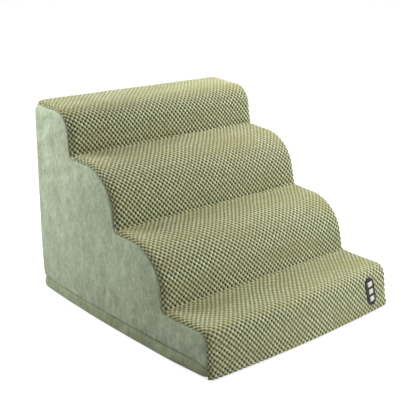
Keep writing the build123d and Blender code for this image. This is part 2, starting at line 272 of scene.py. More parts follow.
def setSurface(tree, surface, **values):
    for key, value in values.items():
        join(tree, value, surface.inputs[key.replace("_", " ")])


def addNode(tree, kind, **values):
    node = tree.nodes.new(kind)
    for key, value in values.items():
        if hasattr(node, key):
            setattr(node, key, value)
        else:
            node.inputs[key].default_value = value
    return node


def join(tree, value, socket):
    if isinstance(value, (int, float, tuple)):
        socket.default_value = value
    elif value is not None:
        tree.links.new(value, socket)


def calculate(tree, operation, a, b=None, c=None, clamp=False):
    node = tree.nodes.new("ShaderNodeMath")
    node.operation, node.use_clamp = operation, clamp
    for socket, value in zip(node.inputs, (a, b, c)):
        join(tree, value, socket)
    return node.outputs[0]


def mixColours(tree, share, a, b, how="MIX"):
    node = tree.nodes.new("ShaderNodeMix")
    node.data_type, node.blend_type = "RGBA", how
    for socket, value in ((node.inputs[0], share), (node.inputs[6], a), (node.inputs[7], b)):
        join(tree, value, socket)
    return node.outputs[2]


def rangeOf(tree, value, low, high, newLow=0.0, newHigh=1.0):
    node = addNode(tree, "ShaderNodeMapRange", interpolation_type="SMOOTHSTEP")
    for socket, put in zip(node.inputs, (value, low, high, newLow, newHigh)):
        join(tree, put, socket)
    return node.outputs[0]


def rampOf(tree, value, *stops):
    node = addNode(tree, "ShaderNodeValToRGB")
    elements = node.color_ramp.elements
    while len(elements) < len(stops):
        elements.new(0.5)
    for element, (position, colour) in zip(elements, stops):
        element.position, element.color = position, colour
    join(tree, value, node.inputs[0])
    return node.outputs[0]


def noiseOf(tree, place, scale, detail=3.0, roughness=0.55, stretch=None):
    if stretch:
        mapping = addNode(tree, "ShaderNodeMapping", Scale=stretch)
        join(tree, place, mapping.inputs["Vector"])
        place = mapping.outputs[0]
    node = addNode(tree, "ShaderNodeTexNoise", Detail=detail, Roughness=roughness)
    join(tree, scale, node.inputs["Scale"])
    join(tree, place, node.inputs["Vector"])
    return node.outputs[0]


def bumpOf(tree, height, strength, distance, normal=None):
    node = addNode(tree, "ShaderNodeBump", Strength=strength, Distance=distance)
    join(tree, height, node.inputs["Height"])
    join(tree, normal, node.inputs["Normal"])
    return node.outputs[0]


def fromScreen(r, g, b):
    # a colour as a paint program shows it, from 0 to 255, made linear
    shares = [c / 255 for c in (r, g, b)]
    return tuple(c / 12.92 if c <= 0.04045 else ((c + 0.055) / 1.055) ** 2.4 for c in shares) + (1,)


def newGroup(name, inputs, outputs):
    group = bpy.data.node_groups.new(name, "ShaderNodeTree")
    for socket, value in inputs.items():
        kind = "NodeSocketVector" if value is None else "NodeSocketFloat"
        made = group.interface.new_socket(socket, in_out="INPUT", socket_type=kind)
        if value is not None:
            made.default_value = value
    for socket in outputs:
        group.interface.new_socket(socket, in_out="OUTPUT", socket_type="NodeSocketFloat")
    start, end = addNode(group, "NodeGroupInput"), addNode(group, "NodeGroupOutput")
    return group, start.outputs, end.inputs


def placeGroup(tree, group, place, **values):
    node = addNode(tree, "ShaderNodeGroup", node_tree=group)
    for key, value in dict(values, Place=place).items():
        join(tree, value, node.inputs[key])
    return node.outputs


def partsOf(tree, place):
    node = addNode(tree, "ShaderNodeSeparateXYZ")
    join(tree, place, node.inputs[0])
    return node.outputs


def bubbleGroup():
    # from a uv in bubbles: 1 on top of each bubble, 0 in the pits between four of them
    group, start, end = newGroup("bubbleRise", dict(Place=None, Roundness=0.6, Lean=0.0), ["Rise"])
    u, v, _ = partsOf(group, start["Place"])
    diagonals = [calculate(group, how, u, v) for how in ("ADD", "SUBTRACT")]
    waves = [calculate(group, "COSINE", calculate(group, "MULTIPLY", d, 2 * math.pi)) for d in diagonals]
    shares = [calculate(group, how, 0.5, start["Lean"]) for how in ("ADD", "SUBTRACT")]
    second = calculate(group, "MULTIPLY", waves[1], shares[1])
    both = calculate(group, "MULTIPLY_ADD", waves[0], shares[0], second)
    high = calculate(group, "MULTIPLY_ADD", both, 0.5, 0.5, clamp=True)
    join(group, calculate(group, "POWER", high, start["Roundness"]), end["Rise"])
    return group


def napGroup():
    # brushed cloth: slow mottling with upright streaks, and the fine nap itself
    group, start, end = newGroup("brushedNap", dict(Place=None, Mottle=38.0, Nap=900.0), ["Shade", "Nap"])
    tuftScale, slowShare, middleShare, fineShare = 0.22, 0.36, 0.42, 0.22
    place, tufts = start["Place"], calculate(group, "MULTIPLY", start["Nap"], tuftScale)
    slow = noiseOf(group, place, start["Mottle"], detail=6.0, roughness=0.62, stretch=(1, 1, 0.5))
    middle = noiseOf(group, place, tufts, detail=4.0, roughness=0.65, stretch=(1, 1, 0.6))
    fine = noiseOf(group, place, start["Nap"], detail=3.0, roughness=0.65, stretch=(1, 1, 0.5))
    finest = calculate(group, "MULTIPLY", fine, fineShare)
    both = calculate(group, "MULTIPLY_ADD", slow, slowShare, finest)
    join(group, calculate(group, "MULTIPLY_ADD", middle, middleShare, both), end["Shade"])
    join(group, fine, end["Nap"])
    return group


def lowDarkGroup():
    # darker in patches towards the floor, none above Height
    group, start, end = newGroup("lowDarkening", dict(Place=None, Height=0.05), ["Mask"])
    near = rangeOf(group, partsOf(group, start["Place"])[2], 0.0, start["Height"], 1.0, 0.0)
    patches = noiseOf(group, start["Place"], 45.0, detail=5.0, roughness=0.6)
    join(group, calculate(group, "MULTIPLY", near, rangeOf(group, patches, 0.35, 0.7)), end["Mask"])
    return group


def weaveGroup():
    # plain weave from a place in threads: Height over and under, Shade paler on each thread's crown and
    # darker where it dips, which is painted shade, and varied thread by thread
    group, start, end = newGroup("plainWeave", dict(Place=None, Threads=1000.0), ["Height", "Shade"])
    overShare, roundShare, threadShare = 0.2, 0.55, 0.6
    scaled = addNode(group, "ShaderNodeVectorMath", operation="SCALE")
    join(group, start["Place"], scaled.inputs[0])
    join(group, start["Threads"], scaled.inputs["Scale"])
    across = partsOf(group, scaled.outputs[0])[:2]
    waves = [calculate(group, "SINE", calculate(group, "MULTIPLY", part, math.pi)) for part in across]
    over = calculate(group, "MULTIPLY", *waves)
    rounds = calculate(group, "ABSOLUTE", over)
    join(group, calculate(group, "MULTIPLY_ADD", over, overShare, rounds), end["Height"])
    threads = noiseOf(group, scaled.outputs[0], 0.6, detail=2.0, roughness=0.5)
    varied = calculate(group, "MULTIPLY", threads, threadShare)
    # paler on each thread's crown and darker where it dips under, painted shade
    join(group, calculate(group, "MULTIPLY_ADD", rounds, roundShare, varied), end["Shade"])
    return group


def wearGroup():
    # edges that hands and use have rubbed: 1 on a sharp edge, 0 on a flat
    group, start, end = newGroup("edgeWear", dict(Place=None, Amount=1.0), ["Mask"])
    rounded = addNode(group, "ShaderNodeBevel", samples=4, Radius=0.35 * mm)
    plain = addNode(group, "ShaderNodeNewGeometry")
    facing = addNode(group, "ShaderNodeVectorMath", operation="DOT_PRODUCT")
    join(group, rounded.outputs[0], facing.inputs[0])
    join(group, plain.outputs["Normal"], facing.inputs[1])
    edge = rangeOf(group, facing.outputs["Value"], 0.8, 0.99, 1.0, 0.0)
    scratches = noiseOf(group, start["Place"], 700.0, detail=4.0, roughness=0.6)
    broken = calculate(group, "MULTIPLY", edge, rangeOf(group, scratches, 0.3, 0.6))
    join(group, calculate(group, "MULTIPLY", broken, start["Amount"]), end["Mask"])
    return group


bubbleNodes, napNodes, lowDarkNodes = bubbleGroup(), napGroup(), lowDarkGroup()
weaveNodes, wearNodes = weaveGroup(), wearGroup()

# tones of the bubbles by height: painted shade in the pits, darker sides that are partly painted shade, and
# frosted tips with a painted highlight
plush = dict(
    tipAndHighlight=fromScreen(236, 240, 207), side=fromScreen(179, 185, 144), deep=fromScreen(95, 100, 64),
    pitShade=fromScreen(31, 35, 16), tonesAt=(0.15, 0.44, 0.68, 0.93), roundness=0.62, lean=0.07,
    fluff=1100.0, tufts=260.0, fluffShare=0.25, bump=0.8, bumpDepth=1.4 * mm, oddBubbles=0.28,
    rubbedTone=fromScreen(164, 156, 102), rubbedTint=0.36, rubbedFlat=0.3, rubbedRise=0.76,
    lowTone=fromScreen(120, 112, 88), lowDark=0.25, lowDarkHeight=0.045,
)


def plushMaterial():
    material, tree, surface, spot = newMaterial("bubblePlush")
    lay = addNode(tree, "ShaderNodeUVMap", uv_map="lay").outputs[0]
    rise = placeGroup(tree, bubbleNodes, lay, Roundness=plush["roundness"], Lean=plush["lean"])["Rise"]
    fluff = noiseOf(tree, spot, plush["fluff"], detail=4.0, roughness=0.65)
    tufts = noiseOf(tree, spot, plush["tufts"], detail=3.0, roughness=0.6)
    wobble = calculate(tree, "SUBTRACT", calculate(tree, "ADD", fluff, tufts), 1.0)
    rubbed = addNode(tree, "ShaderNodeAttribute", attribute_name="rubbed").outputs["Fac"]
    unevenly = rangeOf(tree, noiseOf(tree, spot, 9.0, detail=3.0, roughness=0.6), 0.25, 0.6, 0.45, 1.0)
    rubbed = calculate(tree, "MULTIPLY", rubbed, unevenly)
    flatter = calculate(tree, "MULTIPLY", rubbed, plush["rubbedFlat"])
    short = calculate(tree, "SUBTRACT", plush["rubbedRise"], rise)
    high = calculate(tree, "MULTIPLY_ADD", flatter, short, rise)
    high = calculate(tree, "MULTIPLY_ADD", wobble, plush["fluffShare"], high)
    # colour by the bubble's height: the frosted tips, with a painted highlight, fade through darker sides,
    # partly painted shade, to painted shade in the pits
    shade = rampOf(tree, high, *zip(plush["tonesAt"], [plush[k] for k in ("pitShade", "deep", "side", "tipAndHighlight")]))
    odd = noiseOf(tree, lay, 1.3, detail=1.0, roughness=0.5)
    shade = mixColours(tree, rangeOf(tree, odd, 0.35, 0.65, 0.0, plush["oddBubbles"]), shade, plush["deep"])
    patches = noiseOf(tree, spot, 26.0, detail=5.0, roughness=0.6, stretch=(0.35, 1, 1))
    patches = rangeOf(tree, patches, 0.4, 0.68, 0.0, 0.3)
    patches = calculate(tree, "MULTIPLY_ADD", rubbed, plush["rubbedTint"], patches, clamp=True)
    worn = mixColours(tree, patches, shade, plush["rubbedTone"])
    # darker in patches near the floor
    lowDark = placeGroup(tree, lowDarkNodes, spot, Height=plush["lowDarkHeight"])["Mask"]
    lowDark = calculate(tree, "MULTIPLY", lowDark, plush["lowDark"])
    height = calculate(tree, "MULTIPLY_ADD", fluff, 0.45, rise)
    setSurface(
        tree, surface, Base_Color=mixColours(tree, lowDark, worn, plush["lowTone"]),
        Normal=bumpOf(tree, height, plush["bump"], plush["bumpDepth"]),
        Roughness=rangeOf(tree, fluff, 0.3, 0.7, 0.86, 1.0),
        Specular_IOR_Level=0.12, Sheen_Weight=0.25, Sheen_Roughness=0.5,
    )
    return material


suede = dict(mottle=34.0, nap=850.0, lowTone=fromScreen(124, 119, 84), lowDark=0.4, lowDarkHeight=0.16)


def suedeMaterial(name, pale, deep):
    material, tree, surface, spot = newMaterial(name)
    nap = placeGroup(tree, napNodes, spot, Mottle=suede["mottle"], Nap=suede["nap"])
    shade = rampOf(tree, nap["Shade"], (0.4, deep), (0.6, pale))
    # darker in patches towards the floor
    lowDark = placeGroup(tree, lowDarkNodes, spot, Height=suede["lowDarkHeight"])["Mask"]
    lowDark = calculate(tree, "MULTIPLY", lowDark, suede["lowDark"])
    setSurface(
        tree, surface, Base_Color=mixColours(tree, lowDark, shade, suede["lowTone"]),
        Normal=bumpOf(tree, nap["Nap"], 0.3, 0.35 * mm),
        Roughness=rangeOf(tree, nap["Shade"], 0.35, 0.65, 0.96, 0.84),
        Specular_IOR_Level=0.15, Sheen_Weight=0.25, Sheen_Roughness=0.45,
    )
    return material


def wovenMaterial(name, pale, deep, threads, bump):
    material, tree, surface, spot = newMaterial(name)
    lay = addNode(tree, "ShaderNodeUVMap", uv_map="lay").outputs[0]
    weave = placeGroup(tree, weaveNodes, lay, Threads=threads)
    fibres = noiseOf(tree, spot, 2600.0, detail=2.0, roughness=0.6)
    shade = calculate(tree, "MULTIPLY_ADD", fibres, 0.25, weave["Shade"])
    setSurface(
        tree, surface, Base_Color=rampOf(tree, shade, (0.25, deep), (0.95, pale)),
        Normal=bumpOf(tree, weave["Height"], bump, 0.3 * mm),
        Roughness=rangeOf(tree, weave["Height"], 0.0, 1.0, 0.95, 0.75),
        Specular_IOR_Level=0.2, Sheen_Weight=0.15,
    )
    return material


def foamMaterial():
    material, tree, surface, spot = newMaterial("openFoam")
    cells = addNode(tree, "ShaderNodeTexVoronoi", Scale=900.0)
    join(tree, spot, cells.inputs["Vector"])
    mottle = noiseOf(tree, spot, 20.0, detail=4.0, roughness=0.6)
    shade = rampOf(tree, mottle, (0.3, fromScreen(226, 216, 180)), (0.7, fromScreen(240, 232, 204)))
    # the foam's pores are painted darker, painted shade inside the cells
    poreShade = rangeOf(tree, cells.outputs["Distance"], 0.1, 0.6, 0.75, 0.0)
    setSurface(
        tree, surface, Base_Color=mixColours(tree, poreShade, shade, fromScreen(168, 152, 112)),
        Normal=bumpOf(tree, cells.outputs["Distance"], 0.6, 0.4 * mm),
        Roughness=0.95, Specular_IOR_Level=0.1,
    )
    return material


def plasticMaterial(name, colour, worn):
    material, tree, surface, spot = newMaterial(name)
    wear = placeGroup(tree, wearNodes, spot, Amount=0.5)["Mask"]
    grain = noiseOf(tree, spot, 1800.0, detail=2.0, roughness=0.5)
    tint = mixColours(tree, rangeOf(tree, noiseOf(tree, spot, 60.0), 0.3, 0.7, 0.0, 0.3), colour, worn)
    rounded = addNode(tree, "ShaderNodeBevel", samples=4, Radius=0.2 * mm).outputs[0]
    setSurface(
        tree, surface, Base_Color=mixColours(tree, wear, tint, worn),
        Normal=bumpOf(tree, grain, 0.1, 0.05 * mm, rounded),
        Roughness=rangeOf(tree, grain, 0.3, 0.7, 0.32, 0.48),
    )
    return material


def metalMaterial():
    material, tree, surface, spot = newMaterial("satinZinc")
    wear = placeGroup(tree, wearNodes, spot, Amount=0.9)["Mask"]
    brushed = noiseOf(tree, spot, 500.0, detail=4.0, roughness=0.6, stretch=(0.12, 1, 1))
    clouds = noiseOf(tree, spot, 120.0, detail=4.0, roughness=0.6)
    tarnish = rampOf(tree, clouds, (0.35, fromScreen(150, 150, 146)), (0.7, fromScreen(182, 181, 176)))
    satin = rangeOf(tree, brushed, 0.3, 0.7, 0.28, 0.46)
    rounded = addNode(tree, "ShaderNodeBevel", samples=4, Radius=0.3 * mm).outputs[0]
    setSurface(
        tree, surface, Base_Color=mixColours(tree, wear, tarnish, fromScreen(222, 220, 214)),
        Normal=bumpOf(tree, brushed, 0.15, 0.05 * mm, rounded),
        Roughness=calculate(tree, "MULTIPLY_ADD", wear, -0.12, satin), Metallic=1.0,
    )
    return material


def rubberMaterial():
    material, tree, surface, spot = newMaterial("gripRubber")
    scuffs = noiseOf(tree, spot, 300.0, detail=5.0, roughness=0.7)
    shade = rampOf(tree, scuffs, (0.35, fromScreen(58, 60, 56)), (0.75, fromScreen(96, 96, 88)))
    setSurface(
        tree, surface, Base_Color=shade, Normal=bumpOf(tree, scuffs, 0.2, 0.1 * mm),
        Roughness=rangeOf(tree, scuffs, 0.3, 0.7, 0.55, 0.8), Specular_IOR_Level=0.3,
    )
    return material


def threadMaterial(name, pale, deep):
    material, tree, surface, spot = newMaterial(name)
    plies = noiseOf(tree, spot, 3200.0, detail=2.0, roughness=0.5)
    setSurface(
        tree, surface, Base_Color=rampOf(tree, plies, (0.3, deep), (0.7, pale)),
        Normal=bumpOf(tree, plies, 0.5, 0.1 * mm), Roughness=0.6, Sheen_Weight=0.3,
    )
    return material


plushCloth = plushMaterial()
wallCloth = suedeMaterial("wallSuede", fromScreen(199, 208, 181), fromScreen(158, 166, 137))
bandCloth = suedeMaterial("bandSuede", fromScreen(175, 182, 149), fromScreen(133, 140, 108))
gripWeave = wovenMaterial("gripWeave", fromScreen(172, 174, 162), fromScreen(118, 120, 108), 900.0, 0.5)
tapeWeave = wovenMaterial("tapeWeave", fromScreen(176, 180, 156), fromScreen(120, 125, 100), 2200.0, 0.5)
patchWeave = wovenMaterial("patchWeave", fromScreen(58, 59, 62), fromScreen(24, 25, 27), 1500.0, 0.6)
openFoam = foamMaterial()
toothPlastic = plasticMaterial("toothPlastic", fromScreen(168, 172, 150), fromScreen(206, 208, 192))
satinZinc = metalMaterial()
gripRubber = rubberMaterial()
sewingThread = threadMaterial("sewingThread", fromScreen(206, 210, 190), fromScreen(150, 156, 132))
patchThread = threadMaterial("patchThread", fromScreen(92, 92, 94), fromScreen(48, 48, 50))
paleThread = threadMaterial("paleThread", fromScreen(252, 252, 248), fromScreen(226, 227, 224))
print("materials made")

# patch on the front riser, and how far a place on that riser is outside its outline
patch = dict(
    length=58 * mm, width=26 * mm, sideGap=57.5 * mm, height=46 * mm, tilt=8.5,
    low=0.2 * mm, high=1.7 * mm, field=1.0 * mm, rim=2.2 * mm, rimInner=0.5 * mm, rimSlope=0.8 * mm,
    edge=0.7 * mm, cloth=1.6 * mm, edgeCloth=0.3 * mm, pillow=0.25 * mm, pillowReach=4 * mm,
    insets=(0.25 * mm, 0.6 * mm, 1.1 * mm, 1.6 * mm, 2.0 * mm, 2.4 * mm, 3.2 * mm),
    outlineStep=1.2 * mm, pointSpacing=1.8 * mm,
    press=0.7 * mm, pressWidth=5 * mm, stitch=1.9 * mm, stitchGap=0.9 * mm, thread=0.2 * mm,
    seamStep=0.4 * mm, ahead=0.5 * mm, endPoints=9,
    bars=3, barPitch=15.5 * mm, barWidth=17 * mm, barLength=10.3 * mm, barRise=0.15 * mm, satin=0.32 * mm,
)
patchLean = math.radians(90 + patch["tilt"])
patchWay = np.array((math.cos(patchLean), math.sin(patchLean)))
patchAcross = np.array((-patchWay[1], patchWay[0]))
patchCentre = np.array((halfWidth - patch["sideGap"], patch["height"]))


def patchGap(x, z):
    run = (patch["length"] - patch["width"]) / 2
    x, z = x - patchCentre[0], z - patchCentre[1]
    t = np.clip(x * patchWay[0] + z * patchWay[1], -run, run)
    return np.hypot(x - t * patchWay[0], z - t * patchWay[1]) - patch["width"] / 2


# tread plush: one sheet of bubbles from the foot of the front riser to the back's hem
tread = dict(
    bubbleAcross=10.24 * mm, bubbleAlong=11.1 * mm, cellsPerBubble=6, depth=4.2 * mm, lift=1.1 * mm,
    edgeRadius=8 * mm, hemRadius=2.6 * mm, hemTurn=math.radians(80), hemSink=0.8 * mm, fade=3.5 * mm,
    startZ=2.2 * mm, endRoll=3.2 * mm, endWidth=3.6 * mm, earReach=1.6 * mm, earHeight=14 * mm,
    creaseTuck=0.8 * mm, creaseWidth=5 * mm, edgeSag=2.2 * mm, edgeSagWidth=11 * mm,
    sagFromCrease=30 * mm, sagFromEnd=20 * mm, rubbed=0.2, rubbedFrom=0.55, rubbedRun=0.4,
    # bubbles stray from their rows by a slow drift and a quicker one: how many bubbles long, and its share
    wander=0.42, drifts=((14, 1), (5, 0.35)), uneven=0.5 * mm, unevenScale=6.0,
    # corners of the lining, in mm: from the side edge, and below the top
    lining=((22, 4.2), (12, 6.2), (7.6, 7.6), (5.8, 8.2), (4.6, 10.5)),
)


def acrossSection():
    # half of the cross section, from the middle to the rolled hem: x, depth, outward direction and way
    flat = halfWidth - tread["edgeRadius"]
    edge, hem = tread["edgeRadius"], tread["hemRadius"]
    roll = edge * math.pi / 2
    whole = flat + roll + hem * tread["hemTurn"]
    step = tread["bubbleAcross"] / tread["cellsPerBubble"]
    rows = []
    for i in range(math.ceil(whole / step) + 1):
        w = min(i * step, whole)
        if w <= flat:
            rows.append((w, 0, 0, 1, w))
        elif w <= flat + roll:
            a = (w - flat) / edge
            rows.append((flat + edge * math.sin(a), edge * (1 - math.cos(a)), math.sin(a), math.cos(a), w))
        else:
            a = (w - flat - roll) / hem
            x, depth = halfWidth - hem * (1 - math.cos(a)), edge + hem * math.sin(a)
            rows.append((x, depth, math.cos(a), -math.sin(a), w))
    return np.array(rows)


def bubbleRise(u, v):
    waves = np.cos(2 * math.pi * (u + v)), np.cos(2 * math.pi * (u - v))
    both = (0.5 + plush["lean"]) * waves[0] + (0.5 - plush["lean"]) * waves[1]
    return np.clip((1 + both) / 2, 0, 1) ** plush["roundness"]


def wander(u, v, seeds):
    drifts = [ripple(u, v, scale=s, seed=seed) * share for (s, share), seed in zip(tread["drifts"], seeds)]
    return tread["wander"] * sum(drifts)


def treadPlush():
    # laid as two lengths of the cloth that meet in the middle crease
    spacing = tread["bubbleAlong"] / tread["cellsPerBubble"]
    ends = (0, 0.3 * mm, 0.9 * mm, 1.8 * mm)
    corners = stepCorners(stairsLow.z + tread["startZ"])
    line, heading, along = roundedLine(corners, stepRadii(), spacing, ends)
    creases = [int(np.argmin(np.linalg.norm(line - corners[i], axis=1))) for i in (2, 4, 6)]
    creaseAt = along[creases]
    plushLength("lowerPlush", line, heading, along, creaseAt, slice(0, creases[1] + 1))
    plushLength("upperPlush", line, heading, along, creaseAt, slice(creases[1], len(along)))


def plushLength(name, line, heading, along, creaseAt, part):
    away = np.minimum(along, along[-1] - along)[part]
    toCrease = np.min(np.abs(along[:, None] - creaseAt), axis=1)[part]
    line, heading, along = line[part], heading[part], along[part]
    half = acrossSection()
    x, depth, sideways, upward, w = np.concatenate((half[:0:-1] * (-1, 1, -1, 1, -1), half)).T
    u, v = np.broadcast_arrays(w / tread["bubbleAcross"], along[:, None] / tread["bubbleAlong"])
    u, v = u + wander(u, v, (1.5, 6.5)), v + wander(u, v, (4.5, 9.5))

    # how far the pile stands out: bubbles, flatter where they are rubbed and gone at the hem
    whole = half[-1, 4]
    fade = np.clip((whole - np.abs(w)) / tread["fade"], 0, 1)
    rubbed = np.clip((np.cos(heading) - tread["rubbedFrom"]) / tread["rubbedRun"], 0, 1)
    pile = tread["depth"] * (1 - tread["rubbed"] * rubbed)[:, None]
    push = (bubbleRise(u, v) - 1) * pile * fade - (1 - fade) * tread["hemSink"] + tread["lift"]
    push = push + tread["uneven"] * ripple(u, v, scale=tread["unevenScale"], seed=3.0)

    # the rolled edges sag between the creases, and the patch presses the pile down
    rim = whole - tread["hemRadius"] * tread["hemTurn"] - tread["edgeRadius"] * math.pi / 4
    slack = np.clip(toCrease / tread["sagFromCrease"], 0, 1) * np.clip(away / tread["sagFromEnd"], 0, 1)
    nearRim = np.exp(-((np.abs(w) - rim) / tread["edgeSagWidth"]) ** 2)
    push = push - tread["edgeSag"] * slack[:, None] * nearRim
    z = line[:, 1, None]
    gap = np.where(z > steps["firstRise"], np.inf, patchGap(x, z))
    pressed = np.clip(1 - gap / patch["pressWidth"], 0, 1)
    push = push * (1 - pressed) - patch["press"] * pressed

    # drawn into the creases, and rolled under at both ends
    tuck = tread["creaseTuck"] * np.exp(-(toCrease / tread["creaseWidth"]) ** 2)
    roll = rollDown(away, tread["endRoll"], tread["endWidth"])
    push = push - (tuck + roll)[:, None]
    ear = np.clip(1 - along / tread["earHeight"], 0, 1)[:, None] ** 2 * np.abs(sideways)
    outward = np.stack((-np.sin(heading), np.cos(heading)), 1)
    points = np.zeros((*push.shape, 3))
    points[:, :, 0] = x + sideways * (push + ear * tread["earReach"])
    points[:, :, 1:] = line[:, None] + outward[:, None] * (upward * push - depth)[:, :, None]
    inner = [(side * (halfWidth - e * mm), d * mm) for side in (1, -1) for e, d in tread["lining"][::-side]]
    lining = np.zeros((len(along), len(inner), 3))
    for i, (innerX, d) in enumerate(inner):
        lining[:, i, 0] = innerX
        lining[:, i, 1:] = line - outward * (d + (tuck + roll * (d < tread["edgeRadius"]))[:, None])

    rings = settle(np.concatenate((points, lining), 1))
    rows, columns = rings.shape[:2]
    piece = tubePiece(name, rings, plushCloth)
    lay = np.zeros((rows, columns, 2))
    lay[:, :len(x), 0], lay[:, :len(x), 1] = u, v
    giveUv(piece, lay.reshape(-1, 2))
    sharpEnds(piece, columns, rows)
    share = np.repeat(rubbed.astype(np.float32), columns)
    piece.data.attributes.new("rubbed", "FLOAT", "POINT").data.foreach_set("value", share)
    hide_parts("tread_cover")


treadPlush()
print("tread plush laid")


def panelMesh(outline, insets, spacing):
    # triangles that fill a closed outline, with rows of points at the insets and even ones inside
    rowShare, innerShare, clearShare = 0.866, 0.97, 0.6
    after = np.roll(outline, -1, 0)
    ways = after - np.roll(outline, 1, 0)
    ways /= np.linalg.norm(ways, axis=1)[:, None]
    inward = np.stack((-ways[:, 1], ways[:, 0]), 1)
    area = 0.5 * np.sum(outline[:, 0] * after[:, 1] - outline[:, 1] * after[:, 0])
    if area < 0:
        inward = -inward
    edge = closedLine(outline)
    loops = [outline]
    for inset in insets:
        loop = outline + inward * inset
        loops.append(loop[distanceTo(loop, edge)[0] > inset * innerShare])
    low, high = outline.min(0), outline.max(0)
    xs = np.arange(low[0], high[0], spacing)
    ys = np.arange(low[1], high[1], spacing * rowShare)
    grid = np.array([(x + (j % 2) * spacing / 2, y) for j, y in enumerate(ys) for x in xs])
    last = (insets[-1] if insets else 0) + spacing * clearShare
    loops.append(grid[distanceTo(grid, edge)[0] > last])
    # the triangles are found in millimetres
    places = np.concatenate(loops) * 1000
    count = len(outline)
    rim = [(i, (i + 1) % count) for i in range(count)]
    made, _, faces, source, _, _ = delaunay_2d_cdt([Vector(p) for p in places], rim, [], 1, 1e-5)
    made = np.array([tuple(p) for p in made]) / 1000
    order = {old: new for new, olds in enumerate(source) for old in olds}
    return made, [tuple(f) for f in faces], [order[i] for i in range(count)], abs(area)


def paddedPanel(name, outline, insets, spacing, outward, place, backing, material):
    # closed pad: a shaped outer skin over a plain backing, joined all round; gives its flat area too
    skin, skinFaces, skinRim, area = panelMesh(outline, insets, spacing)
    back, backFaces, backRim, _ = panelMesh(outline, [], 4 * spacing)
    points = np.concatenate((place(skin, outward(skin)), place(back, np.full(len(back), backing))))
    shift = len(skin)
    faces = [tuple(f) for f in skinFaces] + [tuple(i + shift for i in f)[::-1] for f in backFaces]
    for i in range(len(skinRim)):
        j = (i + 1) % len(skinRim)
        faces.append((skinRim[i], backRim[i] + shift, backRim[j] + shift, skinRim[j]))
    piece = newPiece(name, points, faces, material)
    bpy.context.view_layer.objects.active = piece
    piece.select_set(True)
    bpy.ops.object.mode_set(mode="EDIT")
    bpy.ops.mesh.select_all(action="SELECT")
    bpy.ops.mesh.normals_make_consistent(inside=False)
    bpy.ops.object.mode_set(mode="OBJECT")
    piece.select_set(False)
    flat = np.concatenate((skin, back))
    giveUv(piece, flat)
    return piece, skin, len(back), area


def copyAlong(name, model, places, ways, outs, material):
    # the model repeated as one mesh: its x along each way, its z outwards; the model itself goes
    shape = readPoints(model)
    shapeFaces = [tuple(face.vertices) for face in model.data.polygons]
    bpy.data.objects.remove(model)
    ways, outs = np.broadcast_to(ways, places.shape), np.broadcast_to(outs, places.shape)
    turns = np.stack((ways, np.cross(outs, ways), outs), 1)
    points = places[:, None] + np.einsum("vk,nkc->nvc", shape, turns)
    faces = [tuple(i + n * len(shape) for i in face) for n in range(len(places)) for face in shapeFaces]
    return newPiece(name, points.reshape(-1, 3), faces, material)


def modelStitch(length, thread):
    # one stitch: a grain that is nearly half sunk in the cloth
    raisedShare = 0.2
    bpy.ops.mesh.primitive_uv_sphere_add(segments=8, ring_count=6, radius=thread, location=(0, 0, 0))
    stitch = bpy.context.object
    bpy.ops.object.mode_set(mode="EDIT")
    bpy.ops.mesh.select_all(action="SELECT")
    bpy.ops.transform.rotate(value=math.pi / 2, orient_axis="Y", center_override=(0, 0, 0))
    bpy.ops.transform.resize(value=(length / 2 / thread, 1, 1), center_override=(0, 0, 0))
    bpy.ops.transform.translate(value=(0, 0, raisedShare * thread))
    bpy.ops.object.mode_set(mode="OBJECT")
    return stitch


# padded side walls and back wall: brushed cloth drawn down into its seams on all sides
wall = dict(
    lipInset=9.4 * mm, topZ=390.6 * mm, footZ=24.3 * mm, slotZ=34.6 * mm, dip=11 * mm, dipRun=50 * mm,
    crown=1.8 * mm, dome=3.2 * mm, domeReach=36 * mm, seamDrop=1.8 * mm, rollWidth=3.2 * mm,
    footDrop=2.8 * mm, footWidth=4 * mm, footDraw=1.8 * mm, footReach=30 * mm, backing=-6 * mm,
    seamCorner=15 * mm, outerCorner=8 * mm, cornerInner=-4.3 * mm, cornerOuter=4 * mm, cornerRun=26 * mm,
    seamX=225 * mm, seamStep=3.6 * mm, lipGap=2 * mm, frontGap=0.3 * mm, hemDrop=8 * mm, hemRun=60 * mm,
    backGap=3 * mm, puckerDepth=0.5 * mm, puckerLength=15 * mm, puckerReach=10 * mm, puckerStretch=0.25,
    puckerStart=3 * mm, reachVaries=0.6, reachLength=60 * mm, creaseShare=0.5, creaseLength=0.45,
    wave=0.6 * mm, waveLength=110 * mm, waveReach=25 * mm, cornerFill=3.4 * mm, cornerReach=50 * mm,
    fillFromBack=20 * mm, fillFromTop=16 * mm, pointSpacing=6 * mm,
    insets=(0.5 * mm, 1.4 * mm, 2.8 * mm, 4.8 * mm, 7.4 * mm, 11 * mm),
    heldShare=1.15, heldReach=16 * mm, pressure=0.5, growth=0.008, cap=1.6 * mm,
)
cornerS = (backY - frontY) - wall["seamCorner"]
seamS = cornerS + wall["cornerRun"]


def seamHeight(s):
    # height of the foot seam, which dips towards the front
    run, dip = wall["dipRun"], wall["dip"]
    bend = (run ** 2 + dip ** 2) / (2 * dip)
    short = np.clip(run - np.asarray(s), 0, run)
    return wall["footZ"] - bend + np.sqrt(bend ** 2 - short ** 2)


def roundCorner(s, out, centre):
    # plan of a line round the back corner, at a distance out from the box of the treads: x as on the
    # left side, and y; centre is how far the corner's centre is from both faces of that box
    turn = (centre + out) * math.pi / 2
    first = wall["seamCorner"] - centre
    way = np.clip((s - cornerS) / (seamS - cornerS), 0, None) * (2 * first + turn)
    angle = np.clip((way - first) / np.maximum(centre + out, 1e-6), 0, math.pi / 2)
    rest = np.clip(way - first - turn, 0, None)
    x = -halfWidth + centre - (centre + out) * np.cos(angle) + rest
    y = frontY + np.minimum(s, cornerS) + np.clip(way, 0, first) + (centre + out) * np.sin(angle)
    return x, y


